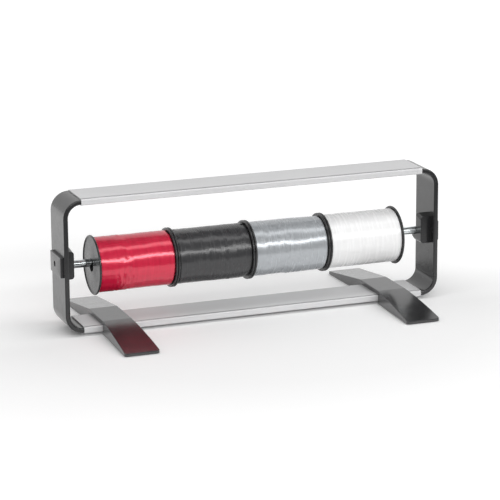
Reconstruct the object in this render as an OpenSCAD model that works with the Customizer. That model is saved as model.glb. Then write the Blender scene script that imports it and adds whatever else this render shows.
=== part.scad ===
// Counter dispenser for four spools of curling ribbon.
// X runs along the axle, +Y points away from the user and +Z is up.
// The origin lies on the table, under the middle of the object.

/* [Frame] */
// Free width between the side brackets beside the row of spools, both sides together
side_room = 81.3; // [70:0.1:160]
// Depth of the bars and side brackets, front to back
frame_depth = 58; // [52:1:80]
// Thickness of a bar
bar_thickness = 8.8; // [7.8:0.1:12]
// Wall and inner ribs of the hollow bar
bar_wall = 1.5; // [1:0.1:2]
// Radius along the four long edges of a bar
bar_edge_radius = 1.6; // [0.8:0.1:2.5]
// Height of the frame, over both bars
frame_height = 172.8; // [167:0.2:260]
// Gap between the lower bar and the table
ground_clearance = 3.5; // [2.8:0.1:8]

/* [Side brackets] */
// Reach of a bracket past the end of the bars
bracket_reach = 23.5; // [23:0.5:40]
// Thickness of the upright part of a bracket
bracket_thickness = 6; // [4.5:0.1:9]
// Thickness of the two short legs that meet the bars, set in behind the bars' faces
leg_thickness = 5.9; // [5.8:0.1:7.8]
// Outer radius of a frame corner
corner_radius = 23; // [16:0.5:23]
// Length of the tongues inside a bar
tongue_length = 30; // [18:1:60]
// Width of the raised bead's step along the bracket's edges
bead_step = 1.1; // [0.5:0.1:1.8]

/* [Feet] */
// Length of a foot, front to back
foot_length = 264; // [200:2:340]
// Length of the flat top over the bar
foot_flat = 60; // [58:1:90]
// Width of a foot at its middle
foot_waist = 38; // [30:0.5:50]
// Width of a foot at its tips
foot_tip_width = 41; // [30:0.5:54]
// Thickness of a foot above the lower bar
foot_web = 5.7; // [5:0.1:9]
// Height of the tips above the table
foot_tip_height = 4.2; // [3.8:0.1:6]
// Wall of the moulded foot
foot_wall = 2.6; // [1.6:0.1:3.5]
// Distance from the end of a bar to the middle of a foot
foot_inset = 42.5; // [35:0.5:110]

/* [Axle and holders] */
// Diameter of the steel axle
axle_diameter = 10; // [8:0.5:12]
// Height of the axle above the table
axle_height = 85.7; // [82:0.1:100]
// Distance of the axle behind the middle of the frame
axle_setback = 3; // [0:0.5:6]
// Height of the cover plates and their screws over the axle
plate_rise = 3.4; // [2:0.1:6]
// Height of a holder block at its front
block_height = 35; // [32:0.5:42]
// Thickness of a block under the axle
hook_floor = 9.4; // [7:0.1:14]
// Reach of the left block in from its bracket
left_block_reach = 9.6; // [8:0.1:16]
// Reach of the right block in from its bracket
right_block_reach = 13.7; // [8:0.1:16]
// Thickness of the block's back wall
block_base = 3.5; // [3:0.1:5]
// Thickness of a cover plate
plate_thickness = 3.6; // [3.2:0.1:5]
// Depth of a cover plate, front to back
plate_depth = 45.6; // [40:0.2:47]
// Height of a cover plate
plate_height = 26.4; // [20:0.2:34]

/* [Spools and ribbon] */
// Flange diameter of a spool
flange_diameter = 76; // [60:0.5:77]
// Length of a spool over its flanges
spool_length = 102.8; // [60:0.2:103]
// Thickness of a flange
flange_thickness = 2; // [1.4:0.1:3]
// Bore of a spool
spool_bore = 17; // [15:0.1:18]
// Outer diameter of a spool's core tube
core_diameter = 22; // [21:0.1:30]
// Diameter over the wound ribbon
winding_diameter = 69.5; // [56:0.5:70.5]
// Width of the ribbon
ribbon_width = 5; // [4:0.1:5.2]
// Turns of the outer layer
ribbon_turns = 16; // [8:1:17]
// Sideways place of the row of spools on the axle
row_shift = -2.9; // [-8:0.1:8]

/* [Hidden] */

// Smoothness of round surfaces
$fn = 72;
// Reach of a cut past the surface it opens
overrun = 1;
// Gap between moulded pieces that slide together
slip = 0.2;
// Gap between a screw or peg and its hole
screw_slip = 0.06;
// Gap between pieces that turn or lift on each other
running_gap = 0.25;

// Colours
aluminium = "lightgrey";
black_plastic = "dimgray";
dark_plastic = "#2b2b2d";
steel = "silver";
rubber = "#1d1d1d";
ribbon_colours = ["crimson", "#3a3a3d", "#a9adb0", "whitesmoke"];

// The row of spools sets the width of the frame
spool_count = 4;
spool_gap = 0.5;
spool_pitch = spool_length + spool_gap;
bracket_inner = (spool_count * spool_pitch - spool_gap + side_room) / 2;
bracket_outer = bracket_inner + bracket_thickness;
bar_end = bracket_outer - bracket_reach;
bar_length = 2 * bar_end;
foot_distance = bar_end - foot_inset;
frame_bottom = ground_clearance;
frame_top = frame_bottom + frame_height;
holder_z = axle_height + plate_rise;

// Bar profile
bar_chambers = 3;
chamber_height = bar_thickness - 2 * bar_wall;
chamber_width = (frame_depth - (bar_chambers + 1) * bar_wall) / bar_chambers;
chamber_y = chamber_width + bar_wall;
bar_groove_width = 1.4;
bar_groove_depth = 0.45;
bar_groove_inset = 2.8;

// Bracket details
inner_corner_radius = corner_radius - bracket_thickness;
leg_set_in = (bar_thickness - leg_thickness) / 2;
bracket_bottom = frame_bottom + leg_set_in;
bracket_top = frame_top - leg_set_in;
bead_depth = 0.7;
tongue_root = 2;
tongue_screw_x = bar_end - tongue_length / 2;

// Screws: shank diameter, head diameter, head height
bracket_shank = 3;
bracket_head = 5.6;
bracket_head_height = 1.8;
bracket_bite = 3.6;
foot_shank = 4;
foot_head = 7.5;
foot_head_height = 2;
foot_bite = 4;
holder_shank = 4;
holder_head = 6.6;
holder_head_height = 2;
head_recess_slip = 0.3;
socket_share = 0.45;
socket_depth_share = 0.6;

// Foot details
foot_top = frame_bottom + bar_thickness + foot_web;
pad_proud = 0.6;
pad_thickness = 1.8;
pad_length = 26;
pad_depth = 12;
pad_radius = 3;
pad_inset = 8;
pad_y = foot_length / 2 - pad_inset - pad_depth / 2;
foot_tip_radius = 4;
foot_bulge = 1.5;
foot_bulge_steps = 8;
arc_steps = 8;
foot_rib = 1.8;
pocket_count = 3;
pocket_start = frame_depth / 2 + slip + foot_wall;
pocket_end = pad_y - pad_depth / 2 - slip - foot_wall;
pocket_pitch = (pocket_end - pocket_start + foot_rib) / pocket_count;

// Holder block: a hook that is open at the top behind a tall front wall
axle_radius = axle_diameter / 2;
trough_radius = axle_radius + running_gap;
block_front = 20.5;
block_front_y = axle_setback - block_front;
block_bottom = axle_height - trough_radius - hook_floor;
block_front_top = block_bottom + block_height;
block_top_rise = 2.4;
block_corner = 4;
hook_lip = 4.6;
hook_heel_radius = 11;
hook_rear = axle_setback + trough_radius + hook_lip;
hook_lip_top = axle_height - hook_lip / 4;
base_top = block_front_top - block_corner;
peg_diameter = 4;
peg_depth = 2;
peg_y = block_front_y + block_front / 3;
peg_spread = 16;

// Cover plate
plate_radius = 1.6;
plate_edge = 0.6;

// Axle ends stay clear of the blocks' back walls
axle_end_gap = 0.5;
axle_half = bracket_inner - block_base - axle_end_gap;
axle_chamfer = 0.8;

// Spools hang on the axle
spool_z = axle_height - (spool_bore / 2 - axle_radius - running_gap);
flange_radius = flange_diameter / 2;
core_radius = core_diameter / 2;
bore_radius = spool_bore / 2;
rim_radius = 1.3;
spigot_length = 8;
spigot_radius = (core_radius + bore_radius) / 2;

// Ribbon: an outer layer of turns over a plain pack
winding_radius = winding_diameter / 2;
ribbon_thickness = 0.6;
ring_count = 16;
winding_margin = 1;
winding_length = spool_length - 2 * (flange_thickness + winding_margin);
ribbon_pitch = (winding_length - ribbon_width) / ribbon_turns;
pack_gap = 0.3;
pack_radius = (winding_radius - ribbon_thickness) * cos(180 / ring_count) - pack_gap;

// Section corners of the ribbon at ring k
function ribbon_ring(k) = let (
        turn_angle = 360 * k / ring_count,
        start = -winding_length / 2 + ribbon_pitch * k / ring_count)
    [for (c = [[0, 0], [1, 0], [1, 1], [0, 1]]) let (
            r = winding_radius - ribbon_thickness + ribbon_thickness * c[1])
        [start + ribbon_width * c[0], r * sin(turn_angle), r * cos(turn_angle)]];

ring_total = ring_count * ribbon_turns;
ribbon_rings = [for (k = [0 : ring_total]) ribbon_ring(k)];
ribbon_least_gap = min([for (k = [0 : ring_total - ring_count]) for (step = [-1 : 1])
    if (k + ring_count + step <= ring_total)
        norm(ribbon_rings[k + ring_count + step][0] - ribbon_rings[k][1])]);
echo(str("least gap between turns of ribbon: ", ribbon_least_gap));

// Places a shape drawn in Y and Z, and gives it a length along X
module along_x(length) {
    rotate([90, 0, 90]) linear_extrude(height = length, center = true) children();
}

// Places a shape drawn in X and Z, and gives it a depth along Y
module along_y(depth) {
    rotate([90, 0, 0]) linear_extrude(height = depth, center = true) children();
}

// Rectangle with round corners, centred
module round_rectangle(width, height, radius) {
    square([width - 2 * radius, height], center = true);
    square([width, height - 2 * radius], center = true);
    for (sx = [-1, 1]) for (sy = [-1, 1])
        translate([sx * (width / 2 - radius), sy * (height / 2 - radius)]) circle(radius);
}

// Round-headed screw along +Z: its head hangs below the seat and its shank stands above it
module screw(shank, head, head_height, shank_length) {
    dome_radius = (head * head / 4 + head_height * head_height) / (2 * head_height);
    cylinder(d = shank, h = shank_length);
    difference() {
        intersection() {
            translate([0, 0, -head_height]) cylinder(d = head, h = head_height);
            translate([0, 0, dome_radius - head_height]) sphere(dome_radius);
        }
        translate([0, 0, -head_height - overrun])
            cylinder(d = head * socket_share, h = overrun + head_height * socket_depth_share, $fn = 6);
    }
}

// Bars

module bar_section() {
    difference() {
        round_rectangle(frame_depth, bar_thickness, bar_edge_radius);
        for (i = [-1 : 1]) translate([i * chamber_y, 0])
            square([chamber_width, chamber_height], center = true);
        for (side = [-1, 1])
            translate([side * (frame_depth / 2 - bar_groove_inset), bar_thickness / 2])
                square([bar_groove_width, 2 * bar_groove_depth], center = true);
    }
}

// One bar with its screw holes for the brackets in the lower wall
module bar(height) {
    translate([0, 0, height]) difference() {
        along_x(bar_length) bar_section();
        for (sx = [-1, 1]) for (sy = [-1, 1])
            translate([sx * tongue_screw_x, sy * chamber_y, -bar_thickness / 2 - overrun])
                cylinder(d = bracket_shank + 2 * screw_slip, h = bar_wall + 2 * overrun);
    }
}

module top_bar() {
    color(aluminium) bar(frame_top - bar_thickness / 2);
}

module bottom_bar() {
    color(aluminium) difference() {
        bar(frame_bottom + bar_thickness / 2);
        for (sx = [-1, 1]) for (sy = [-1, 1])
            translate([sx * foot_distance, sy * chamber_y, frame_bottom - overrun])
                cylinder(d = foot_shank + 2 * screw_slip, h = bar_thickness + 2 * overrun);
    }
}

// Side brackets

// Rectangle from x0 to x1 and z0 to z1 whose two corners at x1 are round
module round_ended(x0, x1, z0, z1, radius) {
    translate([x0, z0]) square([x1 - radius - x0, z1 - z0]);
    translate([x0, z0 + radius]) square([x1 - x0, z1 - z0 - 2 * radius]);
    intersection() {
        for (z = [z0 + radius, z1 - radius]) translate([x1 - radius, z]) circle(radius);
        translate([x1 - radius, z0]) square([radius, z1 - z0]);
    }
}

// Outline of a bracket in X and Z, drawn in by inset on its outer and inner edges
module bracket_outline(inset) {
    difference() {
        round_ended(bar_end, bracket_outer - inset, bracket_bottom + inset, bracket_top - inset,
            corner_radius - inset);
        round_ended(bar_end - overrun, bracket_inner + inset,
            bracket_bottom + leg_thickness - inset, bracket_top - leg_thickness + inset,
            inner_corner_radius + inset);
    }
}

module side_bracket() {
    difference() {
        union() {
            along_y(frame_depth) bracket_outline(bead_step);
            along_y(frame_depth - 2 * bead_depth) bracket_outline(0);
            for (z = [frame_bottom + bar_thickness / 2, frame_top - bar_thickness / 2])
                for (sy = [-1, 1]) translate([bar_end + (tongue_root - tongue_length) / 2,
                        sy * chamber_y, z])
                    cube([tongue_length + tongue_root, chamber_width - 2 * slip,
                        chamber_height - 2 * slip], center = true);
        }
        for (z = [frame_bottom, frame_top - bar_thickness]) for (sy = [-1, 1])
            translate([tongue_screw_x, sy * chamber_y, z])
                cylinder(d = bracket_shank + 2 * screw_slip, h = bar_thickness);
        translate([bracket_inner - overrun, axle_setback, holder_z]) rotate([0, 90, 0])
            cylinder(d = holder_shank + 2 * screw_slip, h = bracket_thickness + 2 * overrun);
        for (side = [-1, 1])
            translate([bracket_inner - overrun, peg_y, holder_z + side * peg_spread / 2])
                rotate([0, 90, 0])
                    cylinder(d = peg_diameter + 2 * screw_slip, h = bracket_thickness + 2 * overrun);
    }
}

module right_side_bracket() {
    color(black_plastic) side_bracket();
}

module left_side_bracket() {
    color(black_plastic) mirror([1, 0, 0]) side_bracket();
}

module bracket_screws() {
    color(steel) for (sx = [-1, 1]) for (sy = [-1, 1]) for (z = [frame_bottom, frame_top - bar_thickness])
        translate([sx * tongue_screw_x, sy * chamber_y, z])
            screw(bracket_shank, bracket_head, bracket_head_height, bar_wall + bracket_bite);
}

// Feet

// Height of the bulged front slope, for share s of the way from the flat to the tip
function front_slope(s) = [-(foot_flat / 2 + s * (foot_length - foot_flat) / 2),
    foot_top + s * (foot_tip_height - foot_top) + 4 * foot_bulge * s * (1 - s)];

// Side view of a foot in Y and Z, lowered by skin for the pockets under the top
module foot_side(skin) {
    polygon(concat(
        [[foot_length / 2, pad_proud], [foot_length / 2, foot_tip_height - skin],
            [foot_flat / 2, foot_top - skin]],
        [for (i = [0 : foot_bulge_steps]) front_slope(i / foot_bulge_steps) - [0, skin]],
        [[-foot_length / 2, pad_proud]]));
}

// Quarter circle as a list of points, from the angle given
function quarter(x, y, radius, angle) = [for (i = [0 : arc_steps])
    [x + radius * cos(angle + 90 * i / arc_steps), y + radius * sin(angle + 90 * i / arc_steps)]];

// Top view of a foot in X and Y, with a slight waist and round tips
module foot_plan() {
    tip_x = foot_tip_width / 2 - foot_tip_radius;
    tip_y = foot_length / 2 - foot_tip_radius;
    waist = foot_waist / 2;
    flat = foot_flat / 2;
    polygon(concat(
        quarter(tip_x, tip_y, foot_tip_radius, 0), quarter(-tip_x, tip_y, foot_tip_radius, 90),
        [[-waist, flat], [-waist, -flat]],
        quarter(-tip_x, -tip_y, foot_tip_radius, 180), quarter(tip_x, -tip_y, foot_tip_radius, 270),
        [[waist, -flat], [waist, flat]]));
}

// Moulded pockets under one slope of a foot, with ribs left between them
module foot_pockets() {
    pocket_width = (foot_waist - 2 * foot_wall - foot_rib) / 2;
    for (side = [-1, 1]) for (i = [0 : pocket_count - 1]) for (sx = [-1, 1])
        translate([sx * (pocket_width + foot_rib) / 2,
                side * (pocket_start + i * pocket_pitch + (pocket_pitch - foot_rib) / 2), foot_top / 2])
            cube([pocket_width, pocket_pitch - foot_rib, foot_top + overrun], center = true);
}

module foot() {
    difference() {
        intersection() {
            along_x(foot_tip_width + overrun) foot_side(0);
            linear_extrude(height = foot_top + overrun) foot_plan();
        }
        // Channel that straddles the lower bar
        translate([0, 0, (frame_bottom + bar_thickness) / 2])
            cube([foot_tip_width + overrun, frame_depth + 2 * slip, frame_bottom + bar_thickness],
                center = true);
        // Pockets under the slopes
        intersection() {
            foot_pockets();
            translate([0, 0, -pad_proud]) along_x(foot_tip_width) foot_side(foot_wall - pad_proud);
        }
        // Seats of the pads
        for (side = [-1, 1]) translate([0, side * pad_y, 0])
            linear_extrude(height = pad_thickness + screw_slip)
                round_rectangle(pad_length + slip, pad_depth + slip, pad_radius);
        // Screw holes in the web over the bar
        for (side = [-1, 1]) translate([0, side * chamber_y, frame_bottom + bar_thickness - overrun])
            cylinder(d = foot_shank + 2 * screw_slip, h = foot_bite + overrun + slip);
    }
}

module left_foot() {
    color(dark_plastic) translate([-foot_distance, 0, 0]) foot();
}

module right_foot() {
    color(dark_plastic) translate([foot_distance, 0, 0]) foot();
}

module foot_screws() {
    color(steel) for (sx = [-1, 1]) for (sy = [-1, 1])
        translate([sx * foot_distance, sy * chamber_y, frame_bottom])
            screw(foot_shank, foot_head, foot_head_height, bar_thickness + foot_bite);
}

module foot_pads() {
    color(rubber) for (sx = [-1, 1]) for (sy = [-1, 1])
        translate([sx * foot_distance, sy * pad_y, 0])
            linear_extrude(height = pad_thickness)
                round_rectangle(pad_length, pad_depth, pad_radius);
}

// Axle holders

// Side view of the hook in Y and Z, before its trough is cut
module hook_side() {
    heel_y = hook_rear - hook_heel_radius;
    heel_z = block_bottom + hook_heel_radius;
    polygon([[block_front_y, block_bottom], [heel_y, block_bottom],
        [heel_y, axle_height], [axle_setback - trough_radius, axle_height],
        [axle_setback - trough_radius, block_front_top + block_top_rise],
        [block_front_y, block_front_top]]);
    intersection() {
        translate([heel_y, heel_z]) circle(hook_heel_radius);
        translate([heel_y - overrun, block_bottom])
            square([hook_heel_radius + overrun, hook_lip_top - block_bottom]);
    }
    translate([heel_y, heel_z]) square([hook_heel_radius, hook_lip_top - heel_z]);
    translate([hook_rear - hook_lip / 2, hook_lip_top]) circle(hook_lip / 2);
}

// Side view of the slot that the axle drops into
module slot_side() {
    translate([axle_setback, axle_height]) circle(trough_radius);
    translate([axle_setback - trough_radius, axle_height])
        square([2 * trough_radius, block_front_top + block_top_rise + overrun - axle_height]);
}

// Front view of a block in X and Z, with round inner corners
module block_front_view(reach) {
    mirror([1, 0]) round_ended(-bracket_inner, reach - bracket_inner, block_bottom,
        block_front_top + block_top_rise, block_corner);
}

module holder_block(reach) {
    difference() {
        intersection() {
            along_y(frame_depth) block_front_view(reach);
            union() {
                translate([bracket_inner - reach / 2, 0, 0]) along_x(reach) difference() {
                    hook_side();
                    slot_side();
                }
                translate([bracket_inner - block_base / 2, 0, 0]) along_x(block_base) {
                    hook_side();
                    translate([block_front_y, axle_height])
                        square([hook_rear - block_front_y, base_top - axle_height]);
                }
            }
        }
        translate([bracket_inner - block_base - overrun, axle_setback, holder_z]) rotate([0, 90, 0])
            cylinder(d = holder_shank + 2 * screw_slip, h = block_base + 2 * overrun);
    }
    for (side = [-1, 1])
        translate([bracket_inner - block_base / 2, peg_y, holder_z + side * peg_spread / 2])
            rotate([0, 90, 0])
                cylinder(d = peg_diameter, h = block_base / 2 + bracket_thickness + peg_depth);
}

module right_holder_block() {
    color(dark_plastic) holder_block(right_block_reach);
}

module left_holder_block() {
    color(dark_plastic) mirror([1, 0, 0]) holder_block(left_block_reach);
}

module holder_plate() {
    difference() {
        translate([bracket_outer, 0, holder_z]) union() {
            translate([plate_thickness / 2, 0, 0]) along_x(plate_thickness)
                round_rectangle(plate_depth - 2 * plate_edge, plate_height - 2 * plate_edge, plate_radius);
            translate([(plate_thickness - plate_edge) / 2, 0, 0]) along_x(plate_thickness - plate_edge)
                round_rectangle(plate_depth, plate_height, plate_radius);
        }
        translate([bracket_outer - overrun, axle_setback, holder_z]) rotate([0, 90, 0])
            cylinder(d = holder_shank + 2 * screw_slip, h = plate_thickness + 2 * overrun);
        translate([bracket_outer + plate_thickness - holder_head_height, axle_setback, holder_z])
            rotate([0, 90, 0])
                cylinder(d = holder_head + 2 * head_recess_slip, h = holder_head_height + overrun);
        for (side = [-1, 1])
            translate([bracket_outer - overrun, peg_y, holder_z + side * peg_spread / 2])
                rotate([0, 90, 0])
                    cylinder(d = peg_diameter + 2 * screw_slip, h = peg_depth + overrun + slip);
    }
}

module right_holder_plate() {
    color(black_plastic) holder_plate();
}

module left_holder_plate() {
    color(black_plastic) mirror([1, 0, 0]) holder_plate();
}

module holder_screw() {
    grip = plate_thickness - holder_head_height + bracket_thickness + block_base - screw_slip;
    translate([bracket_outer + plate_thickness - holder_head_height, axle_setback, holder_z])
        rotate([0, -90, 0]) screw(holder_shank, holder_head, holder_head_height, grip);
}

module right_holder_screw() {
    color(dark_plastic) holder_screw();
}

module left_holder_screw() {
    color(dark_plastic) mirror([1, 0, 0]) holder_screw();
}

// Axle

module axle() {
    color(steel) translate([0, axle_setback, axle_height]) rotate([0, 90, 0]) {
        cylinder(r = axle_radius, h = 2 * (axle_half - axle_chamfer), center = true);
        for (side = [-1, 1]) mirror([0, 0, side < 0 ? 1 : 0])
            translate([0, 0, axle_half - axle_chamfer])
                cylinder(r1 = axle_radius, r2 = axle_radius - axle_chamfer, h = axle_chamfer);
    }
}

// Spools

// Middle of spool number i, counted from the left, on the axis it turns about
module at_spool(i) {
    translate([row_shift + (i - (spool_count - 1) / 2) * spool_pitch, axle_setback, spool_z]) children();
}

// Turns a profile, drawn as radius and place along the axis, about the spool's axis
module turned() {
    rotate([0, 90, 0]) rotate_extrude($fn = 96) children();
}

// Flange with a bead round its rim, and the bore through it; its outer face is at x = face
module flange_profile(face, inward) {
    difference() {
        union() {
            translate([0, inward > 0 ? face : face - flange_thickness])
                square([flange_radius - rim_radius, flange_thickness]);
            translate([flange_radius - rim_radius, face + inward * rim_radius]) circle(rim_radius, $fn = 24);
        }
        translate([-overrun, face - spool_length]) square([overrun + bore_radius, 2 * spool_length]);
    }
}

// Half with a core tube that ends in a spigot
module spool_left_half(i) {
    color(dark_plastic) at_spool(i) turned() {
        flange_profile(-spool_length / 2, 1);
        translate([bore_radius, -spool_length / 2])
            square([core_radius - bore_radius, spool_length / 2]);
        translate([bore_radius, -spool_length / 2])
            square([spigot_radius - bore_radius, spool_length / 2 + spigot_length]);
    }
}

// Half with a core tube that takes the spigot of the other
module spool_right_half(i) {
    socket = spigot_length + slip;
    color(dark_plastic) at_spool(i) turned() {
        flange_profile(spool_length / 2, -1);
        translate([bore_radius, socket])
            square([core_radius - bore_radius, spool_length / 2 - socket]);
        translate([spigot_radius + screw_slip, screw_slip])
            square([core_radius - spigot_radius - screw_slip, spool_length / 2 - screw_slip]);
    }
}

// Inner layers of the ribbon, as one plain ring
module ribbon_pack(i) {
    color(ribbon_colours[i]) at_spool(i) turned()
        translate([core_radius + screw_slip, -winding_length / 2])
            square([pack_radius - core_radius - screw_slip, winding_length]);
}

// Outer layer of the ribbon, one flat band wound from flange to flange
module ribbon_turns_layer(i) {
    sides = 4;
    last = ring_total * sides;
    color(ribbon_colours[i]) at_spool(i) polyhedron(
        points = [for (ring = ribbon_rings) each ring],
        faces = concat(
            [[0, 1, 2], [0, 2, 3]],
            [for (k = [0 : ring_total - 1]) for (s = [0 : sides - 1]) let (
                    a = k * sides + s, b = k * sides + (s + 1) % sides)
                each [[a, a + sides, b], [b, a + sides, b + sides]]],
            [[last, last + 2, last + 1], [last, last + 3, last + 2]]));
}

top_bar();
bottom_bar();
left_side_bracket();
right_side_bracket();
bracket_screws();
left_foot();
right_foot();
foot_screws();
foot_pads();
left_holder_block();
right_holder_block();
left_holder_plate();
right_holder_plate();
left_holder_screw();
right_holder_screw();
axle();
spool_left_half(0);  // red_spool_left_half
spool_right_half(0);  // red_spool_right_half
ribbon_pack(0);  // red_ribbon_pack
ribbon_turns_layer(0);  // red_ribbon_turns
spool_left_half(1);  // black_spool_left_half
spool_right_half(1);  // black_spool_right_half
ribbon_pack(1);  // black_ribbon_pack
ribbon_turns_layer(1);  // black_ribbon_turns
spool_left_half(2);  // silver_spool_left_half
spool_right_half(2);  // silver_spool_right_half
ribbon_pack(2);  // silver_ribbon_pack
ribbon_turns_layer(2);  // silver_ribbon_turns
spool_left_half(3);  // white_spool_left_half
spool_right_half(3);  // white_spool_right_half
ribbon_pack(3);  // white_ribbon_pack
ribbon_turns_layer(3);  // white_ribbon_turns
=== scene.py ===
"""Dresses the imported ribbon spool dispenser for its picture.

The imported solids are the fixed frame. Each sub-assembly builds the pieces that stand for its solids, with
softened edges and wound ribbon, and every piece and every solid that stays gets its own finish. Lengths in
the classes are in millimetres, and a piece becomes metres when it is placed.
"""

import logging
import math
from dataclasses import dataclass
from enum import Enum
from typing import Any, Callable, Iterable, Optional

import bmesh
import bpy
from mathutils import Matrix, Vector, noise


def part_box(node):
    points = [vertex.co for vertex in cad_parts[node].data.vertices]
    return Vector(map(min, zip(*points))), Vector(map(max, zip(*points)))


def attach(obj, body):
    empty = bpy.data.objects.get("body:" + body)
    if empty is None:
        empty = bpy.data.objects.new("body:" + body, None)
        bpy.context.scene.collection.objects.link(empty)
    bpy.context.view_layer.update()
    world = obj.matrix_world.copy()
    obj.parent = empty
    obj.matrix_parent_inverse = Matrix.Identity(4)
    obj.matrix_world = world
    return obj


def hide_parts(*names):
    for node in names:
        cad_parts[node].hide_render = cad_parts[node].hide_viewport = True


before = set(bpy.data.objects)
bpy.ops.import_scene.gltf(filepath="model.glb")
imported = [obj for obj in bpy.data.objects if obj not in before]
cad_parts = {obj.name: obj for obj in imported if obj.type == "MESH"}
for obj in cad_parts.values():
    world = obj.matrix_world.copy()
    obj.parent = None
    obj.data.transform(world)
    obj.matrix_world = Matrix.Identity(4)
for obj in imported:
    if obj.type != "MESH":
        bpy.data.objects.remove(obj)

LOG = logging.getLogger("ribbon_dispenser")
MM = 0.001
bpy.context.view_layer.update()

Colour = tuple[float, float, float]
Triple = tuple[float, float, float]
Point = tuple[float, float]
Rounding = tuple[float, int]
Rounds = dict[int, Rounding]
Socket = bpy.types.NodeSocket
Vert = bmesh.types.BMVert
Edge = bmesh.types.BMEdge
Face = bmesh.types.BMFace

# Places nearer than this are the same place, in millimetres
CLOSE = 0.01
# Corners nearer than this become one corner
MERGED = 0.0005
# Corners nearer than this to a cut lie on it
CUT_CLOSE = 0.0001
# A face looks along an axis when its normal has more than this of it
FACING = 0.9


# Node trees


class NodeBench:
    """The node tree of a material, or of the room, while it is being built."""

    def __init__(self, tree: bpy.types.NodeTree) -> None:
        """Takes a tree, with its usual surface shader if it has one.

        Args:
            tree: The tree.
        """
        self.tree = tree
        self.surface = tree.nodes.get("Principled BSDF")
        self.coordinates = self.node("ShaderNodeTexCoord").outputs
        self.place = self.coordinates["Object"]

    def node(self, kind: str, inputs: Optional[dict[Any, Any]] = None, **settings: Any) -> bpy.types.Node:
        """Adds a node.

        Args:
            kind: The node's type.
            inputs: What goes into its sockets, by name or number: a socket makes a link, else it is a value.
            settings: The node's own settings.

        Returns:
            The new node.
        """
        made = self.tree.nodes.new(kind)
        for name, value in settings.items():
            setattr(made, name, value)
        self.feed(made, inputs or {})
        return made

    def feed(self, node: bpy.types.Node, inputs: dict[Any, Any]) -> None:
        """Links or sets sockets of a node.

        Args:
            node: The node that takes them.
            inputs: Sockets or values by the name or number of the socket.
        """
        for name, value in inputs.items():
            if isinstance(value, Socket):
                self.tree.links.new(value, node.inputs[name])
            else:
                node.inputs[name].default_value = value

    def maths(self, operation: str, first: Any, second: Any) -> Socket:
        """Works out a value from two others."""
        return self.node("ShaderNodeMath", {0: first, 1: second}, operation=operation).outputs[0]

    def split(self, place: Socket, axis: str) -> Socket:
        """One coordinate of a place."""
        return self.node("ShaderNodeSeparateXYZ", {0: place}).outputs[axis]

    def noise(self, grain: float, stretch: Triple = (1.0, 1.0, 1.0), detail: float = 3.0) -> Socket:
        """Cloudy noise on the piece.

        Args:
            grain: Size of its clouds in millimetres.
            stretch: Factors on X, Y and Z, where a small one draws the clouds out.
            detail: Octaves of finer noise.

        Returns:
            A value from 0 to 1.
        """
        stretched = self.node("ShaderNodeMapping", {"Vector": self.place, "Scale": stretch})
        made = self.node("ShaderNodeTexNoise", {
            "Vector": stretched.outputs["Vector"], "Scale": 1.0 / (grain * MM), "Detail": detail,
            "Roughness": 0.55})
        return made.outputs["Fac"]

    def ranged(self, value: Socket, low: float = 0.0, high: float = 1.0,
               start: float = 0.3, end: float = 0.7) -> Socket:
        """Maps a noise value from start to end onto low to high."""
        made = self.node("ShaderNodeMapRange", {
            "Value": value, "From Min": start, "From Max": end, "To Min": low, "To Max": high})
        return made.outputs["Result"]

    def mixed(self, factor: Any, first: Any, second: Any) -> Socket:
        """Mixes two colours by a factor."""
        return self.node("ShaderNodeMix", {0: factor, 6: first, 7: second}, data_type="RGBA").outputs[2]

    def bumped(self, height: Socket, depth: float) -> Socket:
        """Turns a height from 0 to 1 into a bumped normal.

        Args:
            height: The height.
            depth: How deep it is at 1, in millimetres.

        Returns:
            The new normal.
        """
        return self.node("ShaderNodeBump", {
            "Height": height, "Strength": 1.0, "Distance": depth * MM}).outputs["Normal"]


def opaque(colour: Colour, factor: float = 1.0) -> tuple[float, float, float, float]:
    """The colour times a factor, with full alpha."""
    return (min(colour[0] * factor, 1.0), min(colour[1] * factor, 1.0), min(colour[2] * factor, 1.0), 1.0)


# Finishes


@dataclass(frozen=True)
class Finish:
    """A surface finish, made once as a material and shared by its pieces.

    Sizes of noise are in millimetres. Tints and dullness are the least and greatest factors on the colour and
    on the roughness.
    """

    name: str
    colour: Colour
    roughness: float
    tints: Point = (1.0, 1.0)
    dullness: Point = (1.0, 1.0)

    def material(self) -> bpy.types.Material:
        """Builds the finish on first use.

        Returns:
            Its material.
        """
        made = bpy.data.materials.get(self.name)
        if made is None:
            made = bpy.data.materials.new(self.name)
            made.use_nodes = True
            made.diffuse_color = opaque(self.colour)
            self.lay(NodeBench(made.node_tree))
        return made

    def lay(self, bench: NodeBench) -> None:
        """Lays the finish on the bench's surface shader."""
        raise NotImplementedError

    def tinted(self, bench: NodeBench, value: Socket) -> Socket:
        """The colour, which runs between its tints with a value from 0 to 1."""
        dark, light = (opaque(self.colour, tint) for tint in self.tints)
        return bench.mixed(value, dark, light)

    def dulled(self, bench: NodeBench, value: Socket) -> Socket:
        """The roughness, which runs between its factors with a noise value."""
        return bench.ranged(value, *(self.roughness * factor for factor in self.dullness))


@dataclass(frozen=True)
class MouldedPlastic(Finish):
    """Injection-moulded plastic with a fine grain, faint flow clouds and dull worn places."""

    tints: Point = (0.9, 1.12)
    dullness: Point = (0.85, 1.15)
    specular: float = 0.5
    grain: float = 0.5
    grain_depth: float = 0.002
    cloud_size: float = 38.0
    rub_size: float = 9.0

    def lay(self, bench: NodeBench) -> None:
        """Lays grain, clouds and worn places.

        Args:
            bench: The material's bench.
        """
        bench.feed(bench.surface, {
            "Base Color": self.tinted(bench, bench.ranged(bench.noise(self.cloud_size, detail=2.0))),
            "Roughness": self.dulled(bench, bench.noise(self.rub_size, detail=4.0)),
            "Specular IOR Level": self.specular,
            "Normal": bench.bumped(bench.noise(self.grain, detail=2.0), self.grain_depth)})


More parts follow.
